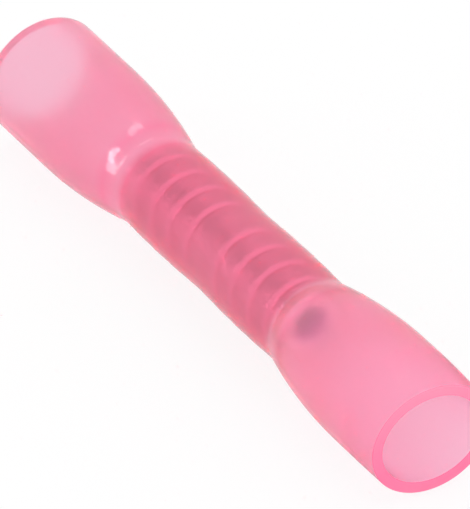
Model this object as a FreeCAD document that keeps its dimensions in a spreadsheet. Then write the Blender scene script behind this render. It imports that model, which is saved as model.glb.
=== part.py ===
"""Heat shrink butt connector: a translucent sleeve shrunk onto a ringed crimp barrel.

The connector lies along X with the middle of the barrel at the origin and Z up.
Its near mouth, at +X, is pressed slightly flat from above. All sizes are in millimetres.
"""
import FreeCAD, Part
import os

import Sketcher
from FreeCAD import Vector

SIZES = [
    # the whole connector
    ("total_length", 36.0, "mouth to mouth"),
    # the crimp barrel
    ("barrel_length", 15.0, "end to end"),
    ("barrel_diameter", 3.3, "outside"),
    ("wire_bore", 1.8, "bore diameter that takes the stripped wire"),
    ("bore_lead_in", 0.2, "chamfer at each bore mouth"),
    ("barrel_edge_chamfer", 0.12, "chamfer at each outer end edge"),
    ("stop_height", 0.32, "ridge of the wire stop above the bore wall"),
    ("stop_half_width", 0.75, "middle of the barrel to the foot of the wire stop"),
    ("stop_crest_half_width", 0.2, "middle of the barrel to the edge of the ridge's flat crest"),
    ("ring_count", 4, "ring grooves on each half"),
    ("ring_first", 1.36, "middle of the barrel to the first ring groove"),
    ("ring_end_margin", 1.43, "last ring groove to the barrel's end; the others are spread evenly"),
    ("ring_depth", 0.14, "depth of a ring groove"),
    ("ring_half_width", 0.24, "half the width of a ring groove at the barrel's outside"),
    # the shrink sleeve
    ("grip_gap", 0.01, "sleeve bore to barrel, all round"),
    ("neck_end_inset", 0.75, "barrel's end back to where the sleeve's outside starts to open"),
    ("neck_wall", 0.73, "wall over the barrel at the end of the neck"),
    ("waist_depth", 0.03, "dip at the middle, below the ends of the neck"),
    ("waist_round", 14.0, "radius of the dip at the middle"),
    ("waist_half_width", 0.6, "middle to where the dip turns into the swell over the rings"),
    ("neck_corner_round", 2.0, "outer hollow where the sleeve starts to open"),
    ("bore_grip_inset", 0.35, "barrel's end back to where the sleeve's bore leaves the barrel"),
    ("bore_shoulder_length", 2.15, "steep first stretch of the bore's opening"),
    ("bore_shoulder_rise", 0.53, "how far the bore opens in that stretch"),
    ("bell_straight_length", 1.45, "straight stretch of the bell up to where the mouth starts"),
    ("bell_diameter", 6.28, "outside"),
    ("bell_wall", 0.57, "wall of the bell"),
    ("mouth_length", 3.0, "stretch behind the near mouth that is pressed flat"),
    ("mouth_spread", 0.07, "how far each side of the near mouth moves out"),
    ("mouth_press_top", 0.44, "how far the top of the near mouth is pressed down"),
    ("mouth_lift", 0.25, "how far the bottom of the near mouth lifts"),
    ("mouth_edge_chamfer", 0.06, "broken edges of the cut rims"),
    ("rest_flat_depth", 0.04, "shallow flat under the bells, on which the connector lies"),
]

BARREL_RADIUS = "Sizes.barrel_diameter / 2"
WIRE_RADIUS = "Sizes.wire_bore / 2"
BELL_RADIUS = "Sizes.bell_diameter / 2"
BELL_BORE_RADIUS = BELL_RADIUS + " - Sizes.bell_wall"
MOUTH_START = "Sizes.total_length / 2 - Sizes.mouth_length"
BARREL_END = "Sizes.barrel_length / 2"
NECK_END = BARREL_END + " - Sizes.neck_end_inset"
GRIP_END = BARREL_END + " - Sizes.bore_grip_inset"
FULL_BELL = MOUTH_START + " - Sizes.bell_straight_length"

# how much of the full press each section of the near mouth has, from round to rim
PRESS_SHARES = (0, 0.25, 1)
# points closer than this are in one place
SAME_PLACE = 1e-4
# share of one groove's volume by which the row of grooves may differ from whole grooves
GROOVE_SLACK = 0.02


def make_sheet(doc):
    """Keep every driving size in one sheet, each under its own name."""
    sheet = doc.addObject("Spreadsheet::Sheet", "Sizes")
    for row, (name, value, note) in enumerate(SIZES, start=1):
        sheet.set("A%d" % row, name)
        sheet.set("B%d" % row, str(value))
        sheet.set("C%d" % row, note)
        sheet.setAlias("B%d" % row, name)
    doc.recompute()
    return sheet


def plane(body, role):
    """The body's own origin plane or axis with this role."""
    for feature in body.Origin.OriginFeatures:
        if feature.Role == role:
            return feature
    raise RuntimeError("no origin feature " + role)


def new_sketch(body, name, role):
    sketch = body.newObject("Sketcher::SketchObject", name)
    sketch.AttachmentSupport = [(plane(body, role), "")]
    sketch.MapMode = "FlatFace"
    return sketch


def drive(sketch, constraint, name, formula):
    """Add a constraint and bind its value to the sheet."""
    index = sketch.addConstraint(constraint)
    sketch.renameConstraint(index, name)
    sketch.setExpression("Constraints." + name, formula)
    return index


class Outline:
    """A closed outline of lines and arcs whose joints are placed by sheet formulas."""

    def __init__(self, sketch):
        self.sketch = sketch

    def line(self, start, end):
        return self.sketch.addGeometry(Part.LineSegment(Vector(*start, 0), Vector(*end, 0)), False)

    def arc(self, start, middle, end):
        """An arc through three points; returns its edge and which of its ends is the start."""
        piece = Part.Arc(Vector(*start, 0), Vector(*middle, 0), Vector(*end, 0))
        edge = self.sketch.addGeometry(piece, False)
        first = self.sketch.getPoint(edge, 1)
        forward = first.distanceToPoint(Vector(*start, 0)) < first.distanceToPoint(Vector(*end, 0))
        return edge, (1, 2) if forward else (2, 1)

    def join(self, edge, end, other, start, tangent=False):
        kind = "Tangent" if tangent else "Coincident"
        self.sketch.addConstraint(Sketcher.Constraint(kind, edge, end, other, start))

    def place(self, name, edge, end, along=None, out=None):
        """Fix one joint at a distance along the axis and a distance out from it."""
        point = self.sketch.getPoint(edge, end)
        if along == "0":
            self.sketch.addConstraint(Sketcher.Constraint("PointOnObject", edge, end, -2))
        elif along:
            rule = Sketcher.Constraint("DistanceX", -1, 1, edge, end, point.x)
            drive(self.sketch, rule, name + "_along", along)
        if out:
            rule = Sketcher.Constraint("DistanceY", -1, 1, edge, end, point.y)
            drive(self.sketch, rule, name + "_out", out)


def revolve(body, kind, name, sketch):
    """Turn an outline once round the connector's axis."""
    feature = body.newObject(kind, name)
    feature.Profile = sketch
    feature.ReferenceAxis = (sketch, ["H_Axis"])
    feature.Angle = 360
    return feature


def mirror_body(body, name, original):
    """Repeat everything made so far on the other side of the middle."""
    mirrored = body.newObject("PartDesign::Mirrored", name)
    mirrored.TransformMode = "Whole shape"
    mirrored.Originals = [original]
    mirrored.MirrorPlane = (plane(body, "YZ_Plane"), [""])
    mirrored.Refine = True
    body.Tip = mirrored
    return mirrored


def closed_outline(sketch, corners):
    """Straight-sided closed outline; each corner is (name, (along, out), along formula, out formula)."""
    outline = Outline(sketch)
    edges = []
    for (_, start, _, _), (_, end, _, _) in zip(corners, corners[1:] + corners[:1]):
        edges.append(outline.line(start, end))
    for edge, following in zip(edges, edges[1:] + edges[:1]):
        outline.join(edge, 2, following, 1)
    for edge, (name, _, along, out) in zip(edges, corners):
        outline.place(name, edge, 1, along, out)
    return sketch


def barrel_outline(body, sheet):
    """Half section of the barrel: wire stop, bore, lead-in, end and outside."""
    end = sheet.barrel_length / 2
    outer = sheet.barrel_diameter / 2
    bore = sheet.wire_bore / 2
    crest = bore - sheet.stop_height
    corners = [
        ("stop_middle", (0, crest), "0", WIRE_RADIUS + " - Sizes.stop_height"),
        ("stop_crest", (sheet.stop_crest_half_width, crest),
         "Sizes.stop_crest_half_width", WIRE_RADIUS + " - Sizes.stop_height"),
        ("stop_foot", (sheet.stop_half_width, bore), "Sizes.stop_half_width", WIRE_RADIUS),
        ("lead_start", (end - sheet.bore_lead_in, bore), BARREL_END + " - Sizes.bore_lead_in", WIRE_RADIUS),
        ("lead_end", (end, bore + sheet.bore_lead_in), BARREL_END, WIRE_RADIUS + " + Sizes.bore_lead_in"),
        ("edge_start", (end, outer - sheet.barrel_edge_chamfer),
         BARREL_END, BARREL_RADIUS + " - Sizes.barrel_edge_chamfer"),
        ("edge_end", (end - sheet.barrel_edge_chamfer, outer),
         BARREL_END + " - Sizes.barrel_edge_chamfer", BARREL_RADIUS),
        ("outside_middle", (0, outer), "0", BARREL_RADIUS),
    ]
    return closed_outline(new_sketch(body, "barrel_section", "XZ_Plane"), corners)


def ring_outline(body, sheet):
    """Vee section of the first ring groove, carried on above the barrel so that it cuts cleanly."""
    first = sheet.ring_first
    reach = 2 * sheet.ring_half_width
    top = sheet.barrel_diameter / 2 + sheet.ring_depth
    root = sheet.barrel_diameter / 2 - sheet.ring_depth
    top_formula = BARREL_RADIUS + " + Sizes.ring_depth"
    root_formula = BARREL_RADIUS + " - Sizes.ring_depth"
    corners = [
        ("far_top", (first - reach, top), "Sizes.ring_first - 2 * Sizes.ring_half_width", top_formula),
        ("root", (first, root), "Sizes.ring_first", root_formula),
        ("near_top", (first + reach, top), "Sizes.ring_first + 2 * Sizes.ring_half_width", top_formula),
    ]
    return closed_outline(new_sketch(body, "ring_section", "XZ_Plane"), corners)


def make_barrel(doc, sheet):
    """Tinned copper tube with a wire stop in its bore and four ring grooves on each half."""
    body = doc.addObject("PartDesign::Body", "crimp_barrel")
    body.Label = "crimp_barrel"
    tube = revolve(body, "PartDesign::Revolution", "barrel_tube", barrel_outline(body, sheet))
    doc.recompute()
    plain_volume = tube.Shape.Volume
    groove = revolve(body, "PartDesign::Groove", "ring_groove", ring_outline(body, sheet))
    doc.recompute()
    rings = body.newObject("PartDesign::LinearPattern", "ring_row")
    rings.Originals = [groove]
    rings.Direction = (plane(body, "X_Axis"), [""])
    rings.Mode = "Extent"
    rings.setExpression("Occurrences", "Sizes.ring_count")
    rings.setExpression("Length", BARREL_END + " - Sizes.ring_first - Sizes.ring_end_margin")
    body.Tip = rings
    doc.recompute()
    one_groove = plain_volume - groove.Shape.Volume
    all_grooves = plain_volume - rings.Shape.Volume
    if one_groove <= 0 or abs(all_grooves / one_groove - sheet.ring_count) > GROOVE_SLACK:
        raise RuntimeError("the ring grooves are not all cut")
    mirror_body(body, "barrel_halves", rings)
    doc.recompute()
    return body


def opening_arcs(outline, start, corner_round, end):
    """Two arcs that leave the neck in a hollow and run out level into the bell."""
    run = end[0] - start[0]
    rise = end[1] - start[1]
    both_rounds = (run ** 2 + rise ** 2) / (2 * rise)
    bell_round = both_rounds - corner_round
    turn_x = start[0] + run * corner_round / both_rounds
    turn_y = start[1] + rise * corner_round / both_rounds
    hollow_x = (start[0] + turn_x) / 2
    hollow_y = start[1] + (hollow_x - start[0]) ** 2 / (2 * corner_round)
    crown_x = (turn_x + end[0]) / 2
    crown_y = end[1] - (end[0] - crown_x) ** 2 / (2 * bell_round)
    hollow = outline.arc(start, (hollow_x, hollow_y), (turn_x, turn_y))
    crown = outline.arc((turn_x, turn_y), (crown_x, crown_y), end)
    return hollow, crown


def sleeve_outline(body, sheet):
    """Half section of the sleeve, from its middle to where the mouths start."""
    sketch = new_sketch(body, "sleeve_section", "XZ_Plane")
    outline = Outline(sketch)
    grip = sheet.barrel_diameter / 2 + sheet.grip_gap
    neck = grip + sheet.neck_wall
    bell = sheet.bell_diameter / 2
    bell_bore = bell - sheet.bell_wall
    neck_end = sheet.barrel_length / 2 - sheet.neck_end_inset
    grip_end = sheet.barrel_length / 2 - sheet.bore_grip_inset
    end = sheet.total_length / 2 - sheet.mouth_length
    full = end - sheet.bell_straight_length
    shoulder = (grip_end + sheet.bore_shoulder_length, grip + sheet.bore_shoulder_rise)
    waist = neck - sheet.waist_depth
    dip_end = (sheet.waist_half_width, waist + sheet.waist_half_width ** 2 / (2 * sheet.waist_round))
    dip_middle = (dip_end[0] / 2, waist + dip_end[0] ** 2 / (8 * sheet.waist_round))
    swell_run = neck_end - dip_end[0]
    swell_slope = dip_end[0] / sheet.waist_round
    swell_middle = (dip_end[0] + swell_run / 2, (dip_end[1] + neck) / 2 + swell_slope * swell_run / 4)

    dip, dip_ends = outline.arc((0, waist), dip_middle, dip_end)
    swell, swell_ends = outline.arc(dip_end, swell_middle, (neck_end, neck))
    (hollow, hollow_ends), (crown, crown_ends) = opening_arcs(
        outline, (neck_end, neck), sheet.neck_corner_round, (full, bell))
    outside = outline.line((full, bell), (end, bell))
    face = outline.line((end, bell), (end, bell_bore))
    inside = outline.line((end, bell_bore), (full, bell_bore))
    flare = outline.line((full, bell_bore), shoulder)
    opening = outline.line(shoulder, (grip_end, grip))
    bore = outline.line((grip_end, grip), (0, grip))
    middle = outline.line((0, grip), (0, waist))

    outline.join(middle, 2, dip, dip_ends[0])
    outline.join(dip, dip_ends[1], swell, swell_ends[0], tangent=True)
    outline.join(swell, swell_ends[1], hollow, hollow_ends[0], tangent=True)
    outline.join(hollow, hollow_ends[1], crown, crown_ends[0], tangent=True)
    outline.join(crown, crown_ends[1], outside, 1, tangent=True)
    outline.join(outside, 2, face, 1)
    outline.join(face, 2, inside, 1)
    outline.join(inside, 2, flare, 1)
    outline.join(flare, 2, opening, 1)
    outline.join(opening, 2, bore, 1)
    outline.join(bore, 2, middle, 1)

    grip_radius = BARREL_RADIUS + " + Sizes.grip_gap"
    neck_radius = grip_radius + " + Sizes.neck_wall"
    outline.place("grip", middle, 1, "0", grip_radius)
    outline.place("waist", middle, 2, "0", neck_radius + " - Sizes.waist_depth")
    outline.place("waist_end", dip, dip_ends[1], "Sizes.waist_half_width")
    outline.place("neck_end", swell, swell_ends[1], NECK_END, neck_radius)
    outline.place("bell", outside, 1, FULL_BELL, BELL_RADIUS)
    outline.place("mouth_start", outside, 2, MOUTH_START, BELL_RADIUS)
    outline.place("bell_bore", face, 2, MOUTH_START, BELL_BORE_RADIUS)
    outline.place("bell_bore_start", inside, 2, FULL_BELL, BELL_BORE_RADIUS)
    outline.place("shoulder", flare, 2, GRIP_END + " + Sizes.bore_shoulder_length",
                  grip_radius + " + Sizes.bore_shoulder_rise")
    outline.place("grip_end", bore, 1, GRIP_END, grip_radius)
    for name, edge in (("waist_round", dip), ("neck_corner_round", hollow)):
        drive(sketch, Sketcher.Constraint("Radius", edge, getattr(sheet, name)), name, "Sizes." + name)
    sketch.addConstraint(Sketcher.Constraint("PointOnObject", dip, 3, -2))
    return sketch


def cross_sketch(body, name, along):
    """A sketch across the connector; its X is the connector's Y, and its Y is up."""
    sketch = new_sketch(body, name, "YZ_Plane")
    sketch.setExpression(".AttachmentOffset.Base.z", along)
    return sketch


def add_circle(sketch, name, radius, formula):
    circle = sketch.addGeometry(Part.Circle(Vector(0, 0, 0), Vector(0, 0, 1), radius), False)
    sketch.addConstraint(Sketcher.Constraint("Coincident", circle, 3, -1, 1))
    drive(sketch, Sketcher.Constraint("Radius", circle, radius), name, formula)
    return circle


def add_oval(sketch, half_width, half_height, drop, width_formula, height_formula, drop_formula):
    """An oval wider than it is high, its centre below the axis; the formulas give its full sizes."""
    centre = Vector(0, -drop, 0)
    across = Vector(half_width, -drop, 0)
    upward = Vector(0, half_height - drop, 0)
    oval = sketch.addGeometry(Part.Ellipse(across, upward, centre), False)
    sketch.exposeInternalGeometry(oval)
    wide = oval + 1
    high = oval + 2
    sketch.addConstraint(Sketcher.Constraint("Horizontal", wide))
    sketch.addConstraint(Sketcher.Constraint("PointOnObject", oval, 3, -2))
    drive(sketch, Sketcher.Constraint("Distance", wide, 2 * half_width), "full_width", width_formula)
    drive(sketch, Sketcher.Constraint("Distance", high, 2 * half_height), "full_height", height_formula)
    drive(sketch, Sketcher.Constraint("DistanceY", oval, 3, -1, 1, drop), "drop", drop_formula)
    return oval


def far_bell(body, sheet):
    """The round stretch that carries the far bell on to its square-cut mouth."""
    sketch = cross_sketch(body, "far_bell_section", "-(%s)" % MOUTH_START)
    bell = sheet.bell_diameter / 2
    add_circle(sketch, "bell_out", bell, BELL_RADIUS)
    add_circle(sketch, "bell_in", bell - sheet.bell_wall, BELL_BORE_RADIUS)
    pad = body.newObject("PartDesign::Pad", "far_bell")
    pad.Profile = sketch
    pad.Reversed = True
    pad.setExpression("Length", "Sizes.mouth_length")
    return pad


def pressed_section(body, sheet, name, share, wall):
    """One section of the near mouth: share is how much of the full press it has."""
    along = "Sizes.total_length / 2 - Sizes.mouth_length * %s" % (1 - share ** 0.5)
    sketch = cross_sketch(body, name, along)
    radius = sheet.bell_diameter / 2 - (sheet.bell_wall if wall else 0)
    radius_formula = BELL_BORE_RADIUS if wall else BELL_RADIUS
    if share == 0:
        add_circle(sketch, "round", radius, radius_formula)
        return sketch
    half_press = share * (sheet.mouth_press_top + sheet.mouth_lift) / 2
    drop = share * (sheet.mouth_press_top - sheet.mouth_lift) / 2
    add_oval(sketch, radius + share * sheet.mouth_spread, radius - half_press, drop,
             "2 * (%s + %s * Sizes.mouth_spread)" % (radius_formula, share),
             "2 * (%s) - %s * (Sizes.mouth_press_top + Sizes.mouth_lift)" % (radius_formula, share),
             "%s * (Sizes.mouth_press_top - Sizes.mouth_lift) / 2" % share)
    return sketch


def near_mouth(body, sheet):
    """The end of the near bell, blended from round to an oval pressed from above."""
    for kind, name, wall in (("PartDesign::AdditiveLoft", "near_mouth", False),
                             ("PartDesign::SubtractiveLoft", "near_mouth_bore", True)):
        sections = [pressed_section(body, sheet, "%s_section_%d" % (name, step), share, wall)
                    for step, share in enumerate(PRESS_SHARES)]
        loft = body.newObject(kind, name)
        loft.Profile = sections[0]
        loft.Sections = sections[1:]
        body.Document.recompute()
    return loft


def rim_edges(shape, half_length):
    """Names of the edges that lie wholly in either mouth's cut face."""
    names = []
    for number, edge in enumerate(shape.Edges, start=1):
        spots = [vertex.X for vertex in edge.Vertexes] + [edge.CenterOfMass.x]
        if all(abs(abs(spot) - half_length) < SAME_PLACE for spot in spots):
            names.append("Edge%d" % number)
    return names


def resting_flat(body, sheet):
    """Take a shallow flat off the underside of both bells."""
    sketch = new_sketch(body, "rest_flat_section", "YZ_Plane")
    half_width = sheet.bell_diameter / 2
    levels = (("flat_bottom", half_width + sheet.rest_flat_depth, "+"),
              ("flat_top", half_width - sheet.rest_flat_depth, "-"))
    outline = Outline(sketch)
    corners = [(-half_width, -levels[0][1]), (half_width, -levels[0][1]),
               (half_width, -levels[1][1]), (-half_width, -levels[1][1])]
    edges = [outline.line(start, end) for start, end in zip(corners, corners[1:] + corners[:1])]
    for edge, following in zip(edges, edges[1:] + edges[:1]):
        outline.join(edge, 2, following, 1)
    for edge in (edges[0], edges[2]):
        sketch.addConstraint(Sketcher.Constraint("Symmetric", edge, 1, edge, 2, -2))
    drive(sketch, Sketcher.Constraint("DistanceX", edges[0], 1, edges[0], 2, 2 * half_width),
          "flat_width", "Sizes.bell_diameter")
    sketch.addConstraint(Sketcher.Constraint("Vertical", edges[1]))
    for edge, (name, level, sign) in zip((edges[0], edges[2]), levels):
        drive(sketch, Sketcher.Constraint("DistanceY", edge, 1, -1, 1, level),
              name, "%s %s Sizes.rest_flat_depth" % (BELL_RADIUS, sign))
    before = body.Tip.Shape.Volume
    flat = body.newObject("PartDesign::Pocket", "resting_flat")
    flat.Profile = sketch
    flat.SideType = "Symmetric"
    flat.setExpression("Length", "Sizes.total_length")
    body.Tip = flat
    body.Document.recompute()
    if flat.Shape.Volume >= before:
        raise RuntimeError("the resting flat cuts nothing")


def make_sleeve(doc, sheet):
    """Shrink tube, gripping the barrel in its neck and left wide at both mouths."""
    body = doc.addObject("PartDesign::Body", "shrink_sleeve")
    body.Label = "shrink_sleeve"
    half = revolve(body, "PartDesign::Revolution", "sleeve_half", sleeve_outline(body, sheet))
    doc.recompute()
    mirror_body(body, "sleeve_halves", half)
    doc.recompute()
    far_bell(body, sheet)
    doc.recompute()
    mouth = near_mouth(body, sheet)
    doc.recompute()
    edges = rim_edges(mouth.Shape, sheet.total_length / 2)
    if len(edges) < 4:
        raise RuntimeError("the rims of the two mouths were not found")
    rims = body.newObject("PartDesign::Chamfer", "mouth_rims")
    rims.Base = (mouth, edges)
    rims.setExpression("Size", "Sizes.mouth_edge_chamfer")
    body.Tip = rims
    doc.recompute()
    resting_flat(body, sheet)
    return body


def check(doc, bodies):
    """Stop if any object failed or any piece isn't one valid solid."""
    for item in doc.Objects:
        if "Invalid" in item.State or "Error" in item.State:
            raise RuntimeError("%s did not compute" % item.Name)
    for body in bodies:
        shape = body.Shape
        if shape.isNull() or not shape.isValid() or len(shape.Solids) != 1:
            raise RuntimeError("%s is not one valid solid" % body.Label)


def main():
    doc = FreeCAD.newDocument("heat_shrink_butt_connector")
    sheet = make_sheet(doc)
    bodies = [make_barrel(doc, sheet), make_sleeve(doc, sheet)]
    check(doc, bodies)
    os.makedirs("parts", exist_ok=True)
    for body in bodies:
        body.Shape.exportStep("parts/%s.step" % body.Label)
        box = body.Shape.optimalBoundingBox()
        print("%s: %.2f mm3, %.2f x %.2f x %.2f mm"
              % (body.Label, body.Shape.Volume, box.XLength, box.YLength, box.ZLength))


main()
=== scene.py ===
"""Looks of a heat shrink butt connector: a translucent pink sleeve shrunk onto a tinned crimp barrel.

The connector lies along X, its pressed near mouth at +X. Lengths in the code are millimetres unless
a name or a unit says otherwise; meshes are made in metres.
"""
import math

import bpy
import numpy as np
from mathutils import Matrix, Vector


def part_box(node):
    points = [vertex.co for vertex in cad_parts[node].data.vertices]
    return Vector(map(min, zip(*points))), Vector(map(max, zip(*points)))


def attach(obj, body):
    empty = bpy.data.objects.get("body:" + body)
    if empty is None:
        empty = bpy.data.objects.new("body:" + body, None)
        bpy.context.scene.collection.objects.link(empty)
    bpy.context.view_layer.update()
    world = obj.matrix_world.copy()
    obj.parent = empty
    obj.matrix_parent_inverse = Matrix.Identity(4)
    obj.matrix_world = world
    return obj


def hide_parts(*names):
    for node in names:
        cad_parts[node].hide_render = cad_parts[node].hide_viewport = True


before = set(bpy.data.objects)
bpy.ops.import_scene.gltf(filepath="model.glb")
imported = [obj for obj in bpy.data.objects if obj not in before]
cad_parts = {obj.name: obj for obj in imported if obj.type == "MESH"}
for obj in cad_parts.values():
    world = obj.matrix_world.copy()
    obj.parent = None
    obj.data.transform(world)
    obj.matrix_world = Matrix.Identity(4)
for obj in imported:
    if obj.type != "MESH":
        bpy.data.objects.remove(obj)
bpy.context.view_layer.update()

bl_info = {
    "name": "Heat shrink butt connector",
    "version": (1, 0, 0),
    "blender": (4, 5, 0),
    "location": "3D Viewport > Sidebar > Connector",
    "description": "Builds the sleeve, the crimp barrel and a plain studio round them",
    "category": "Object",
}

MM = 0.001
PICTURE_WIDTH = 470
PICTURE_HEIGHT = 509
SENSOR_SIZE = 36.0

sleeve_low, sleeve_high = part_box("shrink_sleeve")
_, barrel_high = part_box("crimp_barrel")
HALF_LENGTH = sleeve_high[0] / MM
BARREL_HALF_LENGTH = barrel_high[0] / MM
BARREL_RADIUS = barrel_high[2] / MM
REST_LEVEL = sleeve_low[2] / MM
BELL_RADIUS = sleeve_high[2] / MM

# The barrel's ring grooves: their distances from the middle, the same on both halves
RING_FIRST = 1.36
RING_PITCH = 1.57
RING_PLACES = [RING_FIRST + RING_PITCH * step for step in range(4)]
# Half width of the painted highlight, a pale band that each ring shows, in the tin and in the wall over it
RING_BAND = 0.34

# The neck's waist: an arc at the middle, from which the neck swells to both ends
WAIST_ROUND = 14.0
WAIST_HALF_WIDTH = 0.6

# How far the sleeve's bore is pressed into the barrel's outside
GRIP_PRESS = 0.02
# Spacing of the lathe's stations along the barrel, and along the bore that is pressed on it
GRIP_SPACING = 0.06

RIM_EDGE_ROUND = 0.06
SLEEVE_SIDES = 144
BARREL_SIDES = 96

# Depth of the fine relief on every material
RELIEF_DEPTH = 0.01
TIN_SCALES = {"Cloud Scale": 900.0, "Grain Scale": 9000.0, "Line Scale": 6000.0}


class SleeveSettings(bpy.types.PropertyGroup):
    """Sizes and look of the shrink sleeve."""

    neck_half_length: bpy.props.FloatProperty(
        name="Neck half length", description="Middle to where the sleeve starts to open, in mm",
        default=6.75, min=1.0)
    neck_radius: bpy.props.FloatProperty(
        name="Neck radius", description="Outside radius at the end of the neck, in mm",
        default=2.39, min=0.5)
    waist_depth: bpy.props.FloatProperty(
        name="Waist depth", description="Dip of the neck at its middle, in mm",
        default=0.03, min=0.0)
    ring_sink: bpy.props.FloatProperty(
        name="Ring sink", description="How far the sleeve sinks over each ring groove, in mm",
        default=0.012, min=0.0)
    dye_middle: bpy.props.FloatProperty(
        name="Dye middle",
        description="How far the shrunk, deeper stretch sits towards the near mouth, in mm",
        default=0.37)
    bell_wall: bpy.props.FloatProperty(
        name="Bell wall", description="Wall of the bells, in mm", default=0.57, min=0.1)
    bell_colour: bpy.props.FloatVectorProperty(
        name="Bell colour", description="The wall where it is still wide and thin",
        subtype="COLOR", size=3, default=(0.995, 0.72, 0.81), min=0.0, max=1.0)
    # Painted shade: the far bell is painted duller, for the shade inside it near the barrel's end
    far_bell_shade_colour: bpy.props.FloatVectorProperty(
        name="Far bell colour", description="The far bell, a touch duller than the near one",
        subtype="COLOR", size=3, default=(0.97, 0.705, 0.787), min=0.0, max=1.0)
    mouth_colour: bpy.props.FloatVectorProperty(
        name="Mouth colour", description="The wall at the near mouth, pressed and pale",
        subtype="COLOR", size=3, default=(1.0, 0.82, 0.9), min=0.0, max=1.0)
    shoulder_colour: bpy.props.FloatVectorProperty(
        name="Shoulder colour", description="The thick wall just past the barrel's ends",
        subtype="COLOR", size=3, default=(1.0, 0.42, 0.62), min=0.0, max=1.0)
    neck_colour: bpy.props.FloatVectorProperty(
        name="Neck colour", description="The wall where it has shrunk and its dye is denser",
        subtype="COLOR", size=3, default=(0.925, 0.36, 0.485), min=0.0, max=1.0)
    # Painted highlight: the pale bands at the barrel's ends and over the rings are painted in this colour
    painted_highlight_colour: bpy.props.FloatVectorProperty(
        name="Strained colour", description="The wall where it is whitened by a bend or a crease",
        subtype="COLOR", size=3, default=(1.0, 0.88, 0.93), min=0.0, max=1.0)
    body_colour: bpy.props.FloatVectorProperty(
        name="Body colour", description="What the plastic leaves of the light that goes through it",
        subtype="COLOR", size=3, default=(1.0, 0.55, 0.76), min=0.0, max=1.0)
    body_density: bpy.props.FloatProperty(
        name="Body density", description="How strongly the plastic dyes the light, per metre",
        default=900.0, min=0.0)
    rim_colour: bpy.props.FloatVectorProperty(
        name="Rim colour", description="The cut ends, lit through the length of the wall",
        subtype="COLOR", size=3, default=(1.0, 0.175, 0.35), min=0.0, max=1.0)
    clearness: bpy.props.FloatProperty(
        name="Clearness", description="Share of the light that goes through the surface",
        subtype="FACTOR", default=0.84, min=0.0, max=1.0)
    gloss: bpy.props.FloatProperty(
        name="Gloss", description="Strength of the outside's clear gloss", subtype="FACTOR",
        default=0.5, min=0.0, max=1.0)


class BarrelSettings(bpy.types.PropertyGroup):
    """Sizes and look of the crimp barrel."""

    bore_radius: bpy.props.FloatProperty(
        name="Bore radius", description="Radius of the wire bore, in mm", default=0.9, min=0.1)
    tin_colour: bpy.props.FloatVectorProperty(
        name="Tin colour", description="Bright tin plate", subtype="COLOR", size=3,
        default=(0.86, 0.85, 0.84), min=0.0, max=1.0)
    # Painted highlight: the tin is painted this brighter colour in the ring grooves and near the barrel's
    # ends
    painted_sheen_colour: bpy.props.FloatVectorProperty(
        name="Rubbed colour", description="Tin rubbed bright, in the ring grooves and at the ends",
        subtype="COLOR", size=3, default=(0.95, 0.94, 0.93), min=0.0, max=1.0)
    stain_colour: bpy.props.FloatVectorProperty(
        name="Stain colour", description="Dull stains on the tin", subtype="COLOR", size=3,
        default=(0.7, 0.68, 0.68), min=0.0, max=1.0)
    bore_colour: bpy.props.FloatVectorProperty(
        name="Bore colour", description="The dim wire bore in the pink light from the sleeve",
        subtype="COLOR", size=3, default=(0.78, 0.02, 0.72), min=0.0, max=1.0)


class StudioSettings(bpy.types.PropertyGroup):
    """Camera, lamps and floor."""

    azimuth: bpy.props.FloatProperty(
        name="Azimuth", description="Camera's way round the connector", subtype="ANGLE",
        default=math.radians(59.51))
    elevation: bpy.props.FloatProperty(
        name="Elevation", description="Camera's height above the horizon", subtype="ANGLE",
        default=math.radians(33.32))
    distance: bpy.props.FloatProperty(
        name="Distance", description="Camera to the connector's middle", subtype="DISTANCE",
        unit="LENGTH", default=0.6, min=0.05)
    picture_scale: bpy.props.FloatProperty(
        name="Picture scale", description="Picture points for each mm at the connector's middle",
        default=21.27, min=1.0)
    picture_x: bpy.props.FloatProperty(
        name="Picture X", description="Where the connector's middle shows, in picture points from the left",
        default=233.6)
    picture_y: bpy.props.FloatProperty(
        name="Picture Y", description="Where the connector's middle shows, in picture points from the top",
        default=252.4)
    strip_brightness: bpy.props.FloatProperty(
        name="Strip lamps", description="Brightness of the strip lamps, where white paper is 1",
        default=20.0, min=0.0)
    side_darkness: bpy.props.FloatProperty(
        name="Dark side", description="How dark the studio is on the left, behind the connector",
        subtype="FACTOR", default=0.38, min=0.0, max=1.0)
    floor_colour: bpy.props.FloatVectorProperty(
        name="Floor colour", description="Pale studio floor", subtype="COLOR", size=3,
        default=(0.93, 0.93, 0.93), min=0.0, max=1.0)


def set_values(node, values):
    """Set a node's inputs by their names."""
    for label, value in values.items():
        node.inputs[label].default_value = value


def make_group(name, inputs, outputs):
    """An empty shader node group of these named values; returns it with its two end nodes."""
    group = bpy.data.node_groups.new(name, "ShaderNodeTree")
    for label, value in inputs.items():
        socket = group.interface.new_socket(label, in_out="INPUT", socket_type="NodeSocketFloat")
        socket.default_value = value
    for label in outputs:
        group.interface.new_socket(label, in_out="OUTPUT", socket_type="NodeSocketFloat")
    return group, group.nodes.new("NodeGroupInput"), group.nodes.new("NodeGroupOutput")


def add_noise(tree, vector, scale, detail, roughness):
    """Noise in the object's own space, its scale from a socket."""
    noise = tree.nodes.new("ShaderNodeTexNoise")
    set_values(noise, {"Detail": detail, "Roughness": roughness})
    tree.links.new(vector, noise.inputs["Vector"])
    tree.links.new(scale, noise.inputs["Scale"])
    return noise.outputs["Fac"]


def add_range(tree, value, low, high, new_low=0.0, new_high=1.0):
    """Stretch a value from one range to another, held inside the new one."""
    ranged = tree.nodes.new("ShaderNodeMapRange")
    tree.links.new(value, ranged.inputs["Value"])
    set_values(ranged, {"From Min": low, "From Max": high, "To Min": new_low, "To Max": new_high})
    return ranged.outputs["Result"]


def add_fade(tree, value, start, full, share=1.0):
    """A mask that is nothing at the start and reaches its share at the full place, both in mm."""
    return add_range(tree, value, start * MM, full * MM, 0.0, share)


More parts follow.
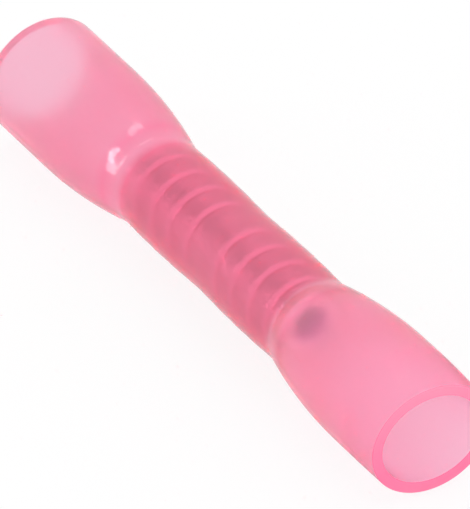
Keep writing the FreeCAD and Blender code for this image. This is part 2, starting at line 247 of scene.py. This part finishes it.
def add_math(tree, operation, first, second=0.0):
    """Two values, or a value and a number, worked into one."""
    node = tree.nodes.new("ShaderNodeMath")
    node.operation = operation
    tree.links.new(first, node.inputs[0])
    if isinstance(second, (int, float)):
        node.inputs[1].default_value = second
    else:
        tree.links.new(second, node.inputs[1])
    return node.outputs["Value"]


def add_band(tree, value, centre, half_width):
    """A mask that is full where the value is at the centre and falls off to both sides, in mm."""
    offset = add_math(tree, "ABSOLUTE", add_math(tree, "SUBTRACT", value, centre * MM))
    return add_fade(tree, offset, half_width, 0.0)


def add_mix(tree, mask, first, second):
    """Mix two colours by a mask; a colour is a tuple or a socket."""
    mix = tree.nodes.new("ShaderNodeMix")
    mix.data_type = "RGBA"
    tree.links.new(mask, mix.inputs["Factor"])
    for label, colour in (("A", first), ("B", second)):
        socket = next(item for item in mix.inputs if item.name == label and item.type == "RGBA")
        if isinstance(colour, bpy.types.NodeSocket):
            tree.links.new(colour, socket)
        else:
            socket.default_value = (*colour, 1.0)
    return next(item for item in mix.outputs if item.type == "RGBA")


def ring_distance(group, side):
    """Distance along the connector to the nearest ring groove."""
    pitch = RING_PITCH * MM
    last_reach = RING_PLACES[-1] * MM + pitch / 2
    held = add_math(group, "MINIMUM", add_math(group, "ABSOLUTE", side), last_reach)
    past_edge = add_math(group, "SUBTRACT", held, RING_FIRST * MM - pitch / 2)
    step = add_math(group, "FLOORED_MODULO", past_edge, pitch)
    return add_math(group, "ABSOLUTE", add_math(group, "SUBTRACT", step, pitch / 2))


def surface_group():
    """Values that the materials share, from a place on the surface.

    Cloud, Grain and Lines are noises. Along is the distance from the given middle, Side and Height are
    the object's own X and Z, and Ring is the distance to the nearest ring groove, all in metres.
    """
    if "connector_surface" in bpy.data.node_groups:
        return bpy.data.node_groups["connector_surface"]
    group, start, end = make_group(
        "connector_surface",
        {"Cloud Scale": 300.0, "Grain Scale": 4000.0, "Line Scale": 2500.0, "Middle": 0.0},
        ("Cloud", "Grain", "Lines", "Along", "Side", "Height", "Ring"))
    place = group.nodes.new("ShaderNodeTexCoord").outputs["Object"]
    cloud = add_noise(group, place, start.outputs["Cloud Scale"], detail=3.0, roughness=0.5)
    grain = add_noise(group, place, start.outputs["Grain Scale"], detail=2.0, roughness=0.5)
    drawn_out = 0.03
    stretch = group.nodes.new("ShaderNodeMapping")
    stretch.inputs["Scale"].default_value = (drawn_out, 1.0, 1.0)
    group.links.new(place, stretch.inputs["Vector"])
    drawn = stretch.outputs["Vector"]
    lines = add_noise(group, drawn, start.outputs["Line Scale"], detail=2.0, roughness=0.6)
    split = group.nodes.new("ShaderNodeSeparateXYZ")
    group.links.new(place, split.inputs["Vector"])
    side = split.outputs["X"]
    from_middle = add_math(group, "SUBTRACT", side, start.outputs["Middle"])
    values = {"Cloud": add_range(group, cloud, low=0.3, high=0.7),
              "Grain": add_range(group, grain, low=0.3, high=0.7),
              "Lines": add_range(group, lines, low=0.35, high=0.65),
              "Along": add_math(group, "ABSOLUTE", from_middle),
              "Side": side,
              "Height": split.outputs["Z"],
              "Ring": ring_distance(group, side)}
    for label, value in values.items():
        group.links.new(value, end.inputs[label])
    return group


def new_material(name, scales):
    """A material with its Principled shader and the surface's values at these scales."""
    material = bpy.data.materials.new(name)
    material.use_nodes = True
    tree = material.node_tree
    surface = tree.nodes.new("ShaderNodeGroup")
    surface.node_tree = surface_group()
    set_values(surface, scales)
    return material, tree, tree.nodes["Principled BSDF"], surface.outputs


def add_bump(tree, shader, height, strength):
    """Relief that feeds the shader's normal."""
    bump = tree.nodes.new("ShaderNodeBump")
    set_values(bump, {"Strength": strength, "Distance": RELIEF_DEPTH * MM})
    tree.links.new(height, bump.inputs["Height"])
    tree.links.new(bump.outputs["Normal"], shader.inputs["Normal"])


def paler(colour, share):
    """The colour, moved towards white by this share."""
    return tuple(part + (1.0 - part) * share for part in colour)


def painted_highlight_share(tree, surface, inside):
    """How far the wall is whitened by painted highlights: pale bands at the barrel's ends and at the lip
    just past them, and over its rings within.
    """
    bend = add_band(tree, surface["Along"], centre=BARREL_HALF_LENGTH, half_width=0.7)
    lip = add_band(tree, surface["Along"], centre=BARREL_HALF_LENGTH + 0.58, half_width=0.2)
    lip_within = add_math(tree, "MULTIPLY", lip, inside)
    # The painted highlights at the barrel's ends and at the lip reach this share
    bend_highlight_share = 0.5
    bent = add_math(tree, "MULTIPLY", add_math(tree, "MAXIMUM", bend, lip_within), bend_highlight_share)
    # Painted highlight over each ring, on the inside faces, unevenly strong
    over_ring = add_band(tree, surface["Ring"], centre=0.0, half_width=RING_BAND)
    ring_within = add_math(tree, "MULTIPLY", over_ring, inside)
    uneven = add_range(tree, surface["Cloud"], 0.0, 1.0, new_low=0.6, new_high=1.0)
    return add_math(tree, "MAXIMUM", bent, add_math(tree, "MULTIPLY", ring_within, uneven))


def wall_colour(tree, surface, inside, settings):
    """The wall's pink: pale bells with painted shade on the far one, thick shoulders and a shrunk, deeper
    neck, whiter with painted highlights at the barrel's ends and over its rings.
    """
    cloud, along, side = surface["Cloud"], surface["Along"], surface["Side"]
    bell, neck = tuple(settings.bell_colour), tuple(settings.neck_colour)
    cloud_paling = 0.06
    near_bell = add_mix(tree, cloud, bell, paler(bell, cloud_paling))
    # Painted shade: the far bell takes a duller colour
    on_far_bell = add_fade(tree, side, start=-8.0, full=-11.0)
    bells = add_mix(tree, on_far_bell, near_bell, tuple(settings.far_bell_shade_colour))
    at_mouth = add_fade(tree, side, start=11.5, full=17.0, share=0.65)
    wide = add_mix(tree, at_mouth, bells, tuple(settings.mouth_colour))
    shrunk = add_mix(tree, cloud, neck, paler(neck, cloud_paling))
    opened = add_fade(tree, along, start=BARREL_HALF_LENGTH - 0.7, full=BARREL_HALF_LENGTH - 0.1)
    even_wall = add_mix(tree, opened, shrunk, wide)
    shoulder = add_band(tree, along, centre=BARREL_HALF_LENGTH + 0.8, half_width=0.6)
    shoulder_share = 0.4
    thick = add_math(tree, "MULTIPLY", shoulder, shoulder_share)
    dyed = add_mix(tree, thick, even_wall, tuple(settings.shoulder_colour))
    # Painted highlights: pale bands at the barrel's ends and over the rings
    highlighted = painted_highlight_share(tree, surface, inside)
    return add_mix(tree, highlighted, dyed, tuple(settings.painted_highlight_colour))


def wall_roughness(tree, surface):
    """How the wall blurs what shows through it: more on the bells, and unevenly."""
    bell_start = BARREL_HALF_LENGTH * MM
    bell_full = 13.0 * MM
    unevenness = 0.06
    milky = add_range(tree, surface["Along"], bell_start, bell_full, new_low=0.3, new_high=0.42)
    return add_math(tree, "ADD", milky, add_math(tree, "MULTIPLY", surface["Cloud"], unevenness))


def wall_gloss(tree, surface, outside, settings):
    """The clear gloss, on the outside faces alone, which fades towards the near mouth."""
    fade_start = 14.0 * MM
    fade_end = 15.8 * MM
    mouth_gloss = 0.15
    shine = add_range(tree, surface["Side"], fade_start, fade_end, settings.gloss, mouth_gloss)
    return add_math(tree, "MULTIPLY", outside, shine)


def wall_material(settings):
    """Translucent, slightly milky wall, whose pink is deeper where it has shrunk; glossy outside."""
    material, tree, shader, surface = new_material("pink_sleeve_wall", {
        "Cloud Scale": 260.0, "Grain Scale": 5200.0, "Line Scale": 2600.0,
        "Middle": settings.dye_middle * MM})
    face_mark = tree.nodes.new("ShaderNodeAttribute")
    face_mark.attribute_name = "outside"
    outside = face_mark.outputs["Fac"]
    inside = add_range(tree, outside, 0.0, 1.0, new_low=1.0, new_high=0.0)
    tree.links.new(wall_colour(tree, surface, inside, settings), shader.inputs["Base Color"])
    tree.links.new(wall_roughness(tree, surface), shader.inputs["Roughness"])
    tree.links.new(wall_gloss(tree, surface, outside, settings), shader.inputs["Coat Weight"])
    set_values(shader, {"IOR": 1.15, "Transmission Weight": settings.clearness, "Coat Roughness": 0.05})
    body = tree.nodes.new("ShaderNodeVolumeAbsorption")
    set_values(body, {"Color": (*settings.body_colour, 1.0), "Density": settings.body_density})
    tree.links.new(body.outputs["Volume"], tree.nodes["Material Output"].inputs["Volume"])
    grain_share = 0.25
    fine_grain = add_math(tree, "MULTIPLY", surface["Grain"], grain_share)
    add_bump(tree, shader, add_math(tree, "ADD", fine_grain, surface["Lines"]), strength=0.06)
    return material


def rim_material(settings):
    """The cut ends: the deep pink of light that has come along the wall, with painted light making their
    top side paler.
    """
    material, tree, shader, surface = new_material("pink_cut_rim", {
        "Cloud Scale": 500.0, "Grain Scale": 9000.0, "Line Scale": 2600.0})
    rim = tuple(settings.rim_colour)
    cloud_paling = 0.05
    top_paling = 0.13
    behind_paling = 0.9
    mottled = add_mix(tree, surface["Cloud"], rim, paler(rim, cloud_paling))
    # Painted light: the top side of the cut is paler, as if lit from above
    topside = add_fade(tree, surface["Height"], start=0.0, full=2.8)
    cut = add_mix(tree, topside, mottled, paler(rim, top_paling))
    from_within = tree.nodes.new("ShaderNodeNewGeometry").outputs["Backfacing"]
    behind = paler(tuple(settings.bell_colour), behind_paling)
    tree.links.new(add_mix(tree, from_within, cut, behind), shader.inputs["Base Color"])
    roughness = add_range(tree, surface["Grain"], 0.0, 1.0, new_low=0.35, new_high=0.5)
    tree.links.new(roughness, shader.inputs["Roughness"])
    set_values(shader, {"IOR": 1.4})
    add_bump(tree, shader, surface["Grain"], strength=0.2)
    return material


def tin_material(settings):
    """Dull tin plate with stains, fine grain and draw lines, with painted highlights making it brighter at
    its rings and ends.
    """
    material, tree, shader, surface = new_material("tin_plate", TIN_SCALES)
    stain = add_math(tree, "MULTIPLY", surface["Cloud"], surface["Grain"])
    dull = add_mix(tree, stain, tuple(settings.tin_colour), tuple(settings.stain_colour))
    # Painted highlights: brighter tin near the barrel's ends and in each ring groove
    at_end = add_fade(tree, surface["Along"], start=BARREL_HALF_LENGTH - 1.1,
                      full=BARREL_HALF_LENGTH - 0.3)
    in_ring = add_band(tree, surface["Ring"], centre=0.0, half_width=RING_BAND)
    glinting = add_math(tree, "MAXIMUM", at_end, in_ring)
    tin = add_mix(tree, glinting, dull, tuple(settings.painted_sheen_colour))
    tree.links.new(tin, shader.inputs["Base Color"])
    roughness = add_range(tree, surface["Cloud"], 0.0, 1.0, new_low=0.34, new_high=0.44)
    tree.links.new(roughness, shader.inputs["Roughness"])
    set_values(shader, {"Metallic": 1.0})
    add_bump(tree, shader, add_math(tree, "ADD", surface["Grain"], surface["Lines"]), strength=0.2)
    return material


def bore_material(settings):
    """The bore, dull, its colour painted shade in the sleeve's pink light, with the draw lines of its tube.
    """
    material, tree, shader, surface = new_material("wire_bore", TIN_SCALES)
    bore = tuple(settings.bore_colour)
    cloud_paling = 0.1
    mottled = add_mix(tree, surface["Cloud"], bore, paler(bore, cloud_paling))
    tree.links.new(mottled, shader.inputs["Base Color"])
    set_values(shader, {"Roughness": 0.5, "Specular IOR Level": 0.1})
    add_bump(tree, shader, surface["Lines"], strength=0.2)
    return material


def opening_radius(along, settings):
    """Outside radius of the sleeve from the end of the neck on: a hollow, then a long crown."""
    hollow_round = 2.0
    flare_length = 6.8
    lean = math.atan(neck_end_slope(settings))
    hollow_x = settings.neck_half_length - hollow_round * math.sin(lean)
    hollow_y = settings.neck_radius + hollow_round * math.cos(lean)
    full = settings.neck_half_length + flare_length
    run = full - hollow_x
    drop = hollow_y - BELL_RADIUS
    crown_round = (run ** 2 + drop ** 2 - hollow_round ** 2) / (2 * (hollow_round - drop))
    crown_y = BELL_RADIUS - crown_round
    turn = hollow_x + run * hollow_round / (hollow_round + crown_round)
    if along < turn:
        return hollow_y - math.sqrt(hollow_round ** 2 - (along - hollow_x) ** 2)
    if along < full:
        return crown_y + math.sqrt(crown_round ** 2 - (full - along) ** 2)
    return BELL_RADIUS


def swell_terms(settings):
    """Start radius, start slope and bend of the neck's swell over the rings."""
    start = settings.neck_radius - settings.waist_depth + WAIST_HALF_WIDTH ** 2 / (2 * WAIST_ROUND)
    slope = WAIST_HALF_WIDTH / WAIST_ROUND
    run = settings.neck_half_length - WAIST_HALF_WIDTH
    bend = (settings.neck_radius - start - slope * run) / run ** 2
    return start, slope, bend


def neck_end_slope(settings):
    """Slope of the neck's outside where the opening starts."""
    _, slope, bend = swell_terms(settings)
    return slope + 2 * bend * (settings.neck_half_length - WAIST_HALF_WIDTH)


def neck_radius(along, settings):
    """Outside radius of the sleeve over the barrel, with a faint dip over each ring."""
    start, slope, bend = swell_terms(settings)
    if along < WAIST_HALF_WIDTH:
        radius = settings.neck_radius - settings.waist_depth + along ** 2 / (2 * WAIST_ROUND)
    else:
        run = along - WAIST_HALF_WIDTH
        radius = start + slope * run + bend * run ** 2
    sink_width = 0.35
    dips = sum(math.exp(-((along - place) / sink_width) ** 2) for place in RING_PLACES)
    return radius - settings.ring_sink * dips


def outer_radius(along, settings):
    """Outside radius of the sleeve at a distance from its middle."""
    if along < settings.neck_half_length:
        return neck_radius(along, settings)
    return opening_radius(along, settings)


def barrel_sink(along):
    """How far the barrel's outside lies below its full radius in its ring grooves."""
    ring_depth = 0.14
    ring_half_width = 0.24
    groove = sum(max(0.0, 1 - abs(along - place) / ring_half_width) for place in RING_PLACES)
    smooth = groove ** 2 * (3 - 2 * groove)
    return ring_depth * smooth


def inner_radius(along, settings):
    """Inside radius: pressed onto the barrel, then an opening with its corners rounded off."""
    grip_end = 7.15
    shoulder_end = 9.3
    shoulder_rise = 0.53
    bell_start = 13.55
    past_mouth = HALF_LENGTH + 2.0
    grip = BARREL_RADIUS - GRIP_PRESS
    bell = BELL_RADIUS - settings.bell_wall
    places = [0.0, grip_end, shoulder_end, bell_start, past_mouth]
    radii = [grip, grip, grip + shoulder_rise, bell, bell]
    corner_reach = 0.7
    samples = 15
    window = np.linspace(-corner_reach, corner_reach, samples)
    rounded = float(np.mean(np.interp(np.abs(along + window), places, radii)))
    return rounded - barrel_sink(along)


def press_mouth(x, radius, angle):
    """Turn a place on the round sleeve into one on the near mouth's pressed oval."""
    mouth_length = 3.0
    spread = 0.07
    press_top = 0.44
    lift = 0.25
    share = max(0.0, (x - (HALF_LENGTH - mouth_length)) / mouth_length) ** 2
    across = (radius + share * spread) * math.cos(angle)
    flattened = (radius - share * (press_top + lift) / 2) * math.sin(angle)
    return across, flattened - share * (press_top - lift) / 2


def lathe(name, stations, sides, shape):
    """A closed ring of stations turned round X; shape places each (x, radius, angle)."""
    places = []
    for x, radius in stations:
        for step in range(sides):
            y, z = shape(x, radius, 2 * math.pi * step / sides)
            places.append((x * MM, y * MM, z * MM))
    faces = []
    for row in range(len(stations)):
        following = (row + 1) % len(stations)
        for step in range(sides):
            beside = (step + 1) % sides
            faces.append((row * sides + step, row * sides + beside,
                          following * sides + beside, following * sides + step))
    mesh = bpy.data.meshes.new(name)
    mesh.from_pydata(places, [], faces)
    mesh.shade_smooth()
    mesh.update()
    piece = bpy.data.objects.new(name, mesh)
    bpy.context.scene.collection.objects.link(piece)
    return piece


def rim_stations(x, outer, inner, sign):
    """The cut rim from outside to inside, its two edges slightly rounded."""
    steps = 4
    edge = RIM_EDGE_ROUND
    centre = x - sign * edge
    turns = [math.pi / 2 * step / steps for step in range(steps + 1)]
    outside = [(centre + sign * edge * math.sin(turn), outer - edge * (1 - math.cos(turn)))
               for turn in turns]
    inside = [(centre + sign * edge * math.cos(turn), inner + edge * (1 - math.sin(turn)))
              for turn in turns]
    flat = outer - inner - 2 * edge
    across = [(x, outer - edge - flat * step / steps) for step in range(1, steps)]
    return outside + across + inside


def even_steps(start, end, count):
    """Places from start to end in this many equal steps, both ends included."""
    return [start + (end - start) * step / count for step in range(count + 1)]


def sleeve_stations(settings):
    """Stations round the whole wall: outside from far to near, near rim, inside back, far rim."""
    spacing = 0.16
    reach = HALF_LENGTH - RIM_EDGE_ROUND
    along = even_steps(-reach, reach, round(2 * reach / spacing))
    outside = [(x, outer_radius(abs(x), settings)) for x in along]
    grip_count = round(2 * BARREL_HALF_LENGTH / GRIP_SPACING)
    gripping = even_steps(BARREL_HALF_LENGTH, -BARREL_HALF_LENGTH, grip_count)
    near_inside = [x for x in reversed(along) if x > BARREL_HALF_LENGTH + spacing / 2]
    inside_along = near_inside + gripping + [-x for x in reversed(near_inside)]
    inside = [(x, inner_radius(abs(x), settings)) for x in inside_along]
    inner = BELL_RADIUS - settings.bell_wall
    near_rim = rim_stations(HALF_LENGTH, BELL_RADIUS, inner, 1)
    far_rim = rim_stations(-HALF_LENGTH, BELL_RADIUS, inner, -1)
    return outside[1:-1] + near_rim + inside[1:-1] + far_rim[::-1]


def stopped_bore(along, settings):
    """Radius of the wire bore, which narrows at the wire stop in the barrel's middle."""
    stop_height = 0.32
    stop_half_width = 0.75
    stop_crest = 0.2
    share = min(1.0, max(0.0, (stop_half_width - along) / (stop_half_width - stop_crest)))
    return settings.bore_radius - stop_height * share


def barrel_stations(settings):
    """Stations round the barrel's wall: outside with its rings, end, bore with the stop, end."""
    edge_round = 0.12
    lead_in = 0.2
    bore_steps = 120
    reach = BARREL_HALF_LENGTH - edge_round
    along = even_steps(-reach, reach, round(2 * reach / GRIP_SPACING))
    outside = [(x, BARREL_RADIUS - barrel_sink(abs(x))) for x in along]
    bore_reach = BARREL_HALF_LENGTH - lead_in
    inner_along = even_steps(bore_reach, -bore_reach, bore_steps)
    inside = [(x, stopped_bore(abs(x), settings)) for x in inner_along]
    face_in = settings.bore_radius + lead_in
    face_out = BARREL_RADIUS - edge_round
    near_face = [(BARREL_HALF_LENGTH, face_out), (BARREL_HALF_LENGTH, face_in)]
    far_face = [(-BARREL_HALF_LENGTH, face_in), (-BARREL_HALF_LENGTH, face_out)]
    return outside + near_face + inside + far_face


def wall_place(x, radius, angle):
    """A place on the sleeve: its near mouth pressed, its underside flat where it lies."""
    across, height = press_mouth(x, radius, angle)
    return across, max(height, REST_LEVEL)


def round_place(x, radius, angle):
    """A place on the barrel, which is round all the way."""
    return radius * math.cos(angle), radius * math.sin(angle)


class CONNECTOR_OT_sleeve(bpy.types.Operator):
    """Make the translucent pink sleeve"""

    bl_idname = "connector.sleeve"
    bl_label = "Shrink Sleeve"

    def execute(self, context):
        settings = context.scene.connector_sleeve
        piece = lathe("pink_shrink_sleeve", sleeve_stations(settings), SLEEVE_SIDES, wall_place)
        piece.data.materials.append(wall_material(settings))
        piece.data.materials.append(rim_material(settings))
        rim_start = (HALF_LENGTH - RIM_EDGE_ROUND / 2) * MM
        outside = piece.data.attributes.new("outside", "FLOAT", "FACE")
        for face, mark in zip(piece.data.polygons, outside.data):
            mark.value = float(face.normal.y * face.center.y + face.normal.z * face.center.z > 0)
            face.material_index = int(abs(face.center.x) > rim_start)
        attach(piece, "root")
        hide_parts("shrink_sleeve")
        return {"FINISHED"}


class CONNECTOR_OT_barrel(bpy.types.Operator):
    """Make the ringed crimp barrel"""

    bl_idname = "connector.barrel"
    bl_label = "Crimp Barrel"

    def execute(self, context):
        settings = context.scene.connector_barrel
        piece = lathe("ringed_crimp_barrel", barrel_stations(settings), BARREL_SIDES, round_place)
        piece.data.materials.append(tin_material(settings))
        piece.data.materials.append(bore_material(settings))
        margin = 0.01
        bore_limit = (settings.bore_radius + margin) * MM
        for face in piece.data.polygons:
            face.material_index = int(math.hypot(face.center.y, face.center.z) < bore_limit)
        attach(piece, "root")
        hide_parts("crimp_barrel")
        return {"FINISHED"}


def floor_material(settings):
    """Pale and matt; seen directly, in the gloss or through the sleeve, it is lifted nearly to white."""
    through_dimming = 0.08
    bounced_lift = 0.84
    direct_lift = 0.86
    material = bpy.data.materials.new("studio_floor")
    material.use_nodes = True
    tree = material.node_tree
    shader = tree.nodes["Principled BSDF"]
    set_values(shader, {"Base Color": (*settings.floor_colour, 1.0), "Roughness": 0.9,
                        "Specular IOR Level": 0.0})
    rays = tree.nodes.new("ShaderNodeLightPath").outputs
    white = tree.nodes.new("ShaderNodeEmission")
    dimmed = add_math(tree, "MULTIPLY", rays["Is Transmission Ray"], -through_dimming)
    tree.links.new(add_math(tree, "ADD", dimmed, 1.0), white.inputs["Strength"])
    bounced = add_math(tree, "MAXIMUM", rays["Is Glossy Ray"], rays["Is Transmission Ray"])
    through = add_math(tree, "MULTIPLY", bounced, bounced_lift)
    direct = add_math(tree, "MULTIPLY", rays["Is Camera Ray"], direct_lift)
    mix = tree.nodes.new("ShaderNodeMixShader")
    tree.links.new(add_math(tree, "MAXIMUM", through, direct), mix.inputs["Fac"])
    tree.links.new(shader.outputs["BSDF"], mix.inputs[1])
    tree.links.new(white.outputs["Emission"], mix.inputs[2])
    tree.links.new(mix.outputs["Shader"], tree.nodes["Material Output"].inputs["Surface"])
    return material


def studio_floor(settings):
    """The floor that the connector lies on, a hair's breadth under its flat."""
    reach_metres = 1.5
    gap = 0.02
    level_metres = (REST_LEVEL - gap) * MM
    corners = [(side_x * reach_metres, side_y * reach_metres, level_metres)
               for side_x, side_y in ((-1, -1), (1, -1), (1, 1), (-1, 1))]
    mesh = bpy.data.meshes.new("studio_floor")
    mesh.from_pydata(corners, [], [(0, 1, 2, 3)])
    mesh.materials.append(floor_material(settings))
    floor = bpy.data.objects.new("studio_floor", mesh)
    bpy.context.scene.collection.objects.link(floor)


def direction(azimuth, elevation):
    """The way out from the connector at these degrees; azimuth 0 is at -Y, and 90 at +X."""
    turn, rise = math.radians(azimuth), math.radians(elevation)
    level = math.cos(rise)
    return Vector((math.sin(turn) * level, -math.cos(turn) * level, math.sin(rise)))


def towards(tree, azimuth, elevation):
    """How far a place in the sky lies towards this direction: the cosine of the angle between them."""
    product = tree.nodes.new("ShaderNodeVectorMath")
    product.operation = "DOT_PRODUCT"
    product.inputs[1].default_value = direction(azimuth, elevation)
    tree.links.new(tree.nodes.new("ShaderNodeTexCoord").outputs["Generated"], product.inputs[0])
    return product.outputs["Value"]


def grey(level):
    """A colour without hue at this level."""
    return (level, level, level)


def soft_world(settings):
    """Soft white light from all round, brighter from one side, with one dark side."""
    dark_from = math.cos(math.radians(42.0))
    dark_within = math.cos(math.radians(16.0))
    dim_level = 0.92
    bright_level = 1.22
    world = bpy.data.worlds.new("soft_studio")
    world.use_nodes = True
    tree = world.node_tree
    dark = add_range(tree, towards(tree, azimuth=-59.5, elevation=33.3), dark_from, dark_within)
    lit = add_range(tree, towards(tree, azimuth=115.0, elevation=30.0), low=-0.2, high=1.0)
    even = add_mix(tree, lit, grey(dim_level), grey(bright_level))
    sky = add_mix(tree, dark, even, grey(1.0 - settings.side_darkness))
    tree.links.new(sky, tree.nodes["Background"].inputs["Color"])
    bpy.context.scene.world = world


def add_strip(name, low, high, width, brightness):
    """A thin lamp between two directions, its width in degrees as seen from the connector."""
    metres_away = 0.5
    ends = [direction(*end) * metres_away for end in (low, high)]
    middle = (ends[0] + ends[1]) / 2
    long_side = ends[1] - ends[0]
    facing = middle.normalized()
    across = long_side.cross(facing).normalized()
    upward = facing.cross(across)
    lamp = bpy.data.lights.new(name, "AREA")
    lamp.shape = "RECTANGLE"
    lamp.size = 2 * middle.length * math.tan(math.radians(width / 2))
    lamp.size_y = long_side.length
    lamp.energy = brightness * math.pi * lamp.size * lamp.size_y
    holder = bpy.data.objects.new(name, lamp)
    holder.matrix_world = Matrix((across, upward, facing)).transposed().to_4x4()
    holder.location = middle
    bpy.context.scene.collection.objects.link(holder)


def studio_lamps(settings):
    """Strip lamps that the gloss mirrors; each runs from one azimuth and elevation to another."""
    bright = settings.strip_brightness
    # These four make the bent highlight on the far shoulder
    add_strip("low_strip", low=(-25.0, 0.5), high=(-25.2, 17.0), width=3.2, brightness=bright * 0.5)
    add_strip("bent_strip", low=(-26.0, 17.0), high=(-29.8, 31.0), width=1.8, brightness=bright * 0.95)
    add_strip("tip_strip", low=(-29.8, 31.0), high=(-34.2, 43.0), width=1.3, brightness=bright * 0.75)
    add_strip("fill_strip", low=(-24.4, 14.0), high=(-26.4, 34.0), width=3.5, brightness=bright * 0.1)
    # These two make the short dash above it
    top_elbow = (-96.0, 62.8)
    add_strip("top_low_strip", low=(-72.0, 62.6), high=top_elbow, width=1.6, brightness=bright / 3)
    add_strip("top_high_strip", low=top_elbow, high=(-122.0, 55.8), width=1.6, brightness=bright / 3)


def photo_camera(settings):
    """The camera at the photograph's angle and scale."""
    back = direction(math.degrees(settings.azimuth), math.degrees(settings.elevation))
    right = Vector((math.cos(settings.azimuth), math.sin(settings.azimuth), 0.0))
    up = back.cross(right)
    aim_right = (PICTURE_WIDTH / 2 - settings.picture_x) / settings.picture_scale * MM
    aim_down = (PICTURE_HEIGHT / 2 - settings.picture_y) / settings.picture_scale * MM
    focal_points = settings.picture_scale * settings.distance / MM
    camera = bpy.data.cameras.new("photo_camera")
    camera.sensor_width = SENSOR_SIZE
    camera.lens = SENSOR_SIZE * focal_points / PICTURE_HEIGHT
    camera.clip_start = 0.01
    camera.clip_end = 10.0
    holder = bpy.data.objects.new("photo_camera", camera)
    holder.location = back * settings.distance + right * aim_right - up * aim_down
    holder.rotation_mode = "QUATERNION"
    holder.rotation_quaternion = (-back).to_track_quat("-Z", "Y")
    bpy.context.scene.collection.objects.link(holder)
    bpy.context.scene.camera = holder


def long_light_paths(scene):
    """Follow the light that wanders inside the milky wall for as long as it takes, none cut off."""
    bounces = 48
    paths = scene.cycles
    paths.max_bounces = bounces
    paths.diffuse_bounces = bounces
    paths.glossy_bounces = bounces
    paths.transmission_bounces = bounces
    paths.blur_glossy = 0.0
    paths.sample_clamp_indirect = 0.0


class CONNECTOR_OT_studio(bpy.types.Operator):
    """Set up the floor, the lamps and the camera"""

    bl_idname = "connector.studio"
    bl_label = "Studio"

    def execute(self, context):
        settings = context.scene.connector_studio
        photo_camera(settings)
        studio_floor(settings)
        soft_world(settings)
        studio_lamps(settings)
        long_light_paths(context.scene)
        context.scene.view_settings.view_transform = "Standard"
        return {"FINISHED"}


class CONNECTOR_PT_sidebar(bpy.types.Panel):
    """The connector's steps in the 3D view's sidebar"""

    bl_idname = "CONNECTOR_PT_sidebar"
    bl_label = "Butt Connector"
    bl_space_type = "VIEW_3D"
    bl_region_type = "UI"
    bl_category = "Connector"

    def draw(self, context):
        steps = ((CONNECTOR_OT_studio, context.scene.connector_studio),
                 (CONNECTOR_OT_barrel, context.scene.connector_barrel),
                 (CONNECTOR_OT_sleeve, context.scene.connector_sleeve))
        for operator, settings in steps:
            box = self.layout.box()
            box.operator(operator.bl_idname)
            for name in settings.__annotations__:
                box.prop(settings, name)


CLASSES = (SleeveSettings, BarrelSettings, StudioSettings, CONNECTOR_OT_sleeve, CONNECTOR_OT_barrel,
           CONNECTOR_OT_studio, CONNECTOR_PT_sidebar)


def register():
    """Register the classes and hang their settings on the scene."""
    for item in CLASSES:
        bpy.utils.register_class(item)
    bpy.types.Scene.connector_sleeve = bpy.props.PointerProperty(type=SleeveSettings)
    bpy.types.Scene.connector_barrel = bpy.props.PointerProperty(type=BarrelSettings)
    bpy.types.Scene.connector_studio = bpy.props.PointerProperty(type=StudioSettings)


def unregister():
    """Take the settings off the scene again and unregister the classes."""
    del bpy.types.Scene.connector_studio
    del bpy.types.Scene.connector_barrel
    del bpy.types.Scene.connector_sleeve
    for item in reversed(CLASSES):
        bpy.utils.unregister_class(item)


def main():
    register()
    bpy.ops.connector.studio()
    bpy.ops.connector.barrel()
    bpy.ops.connector.sleeve()


if __name__ == "__main__":
    main()
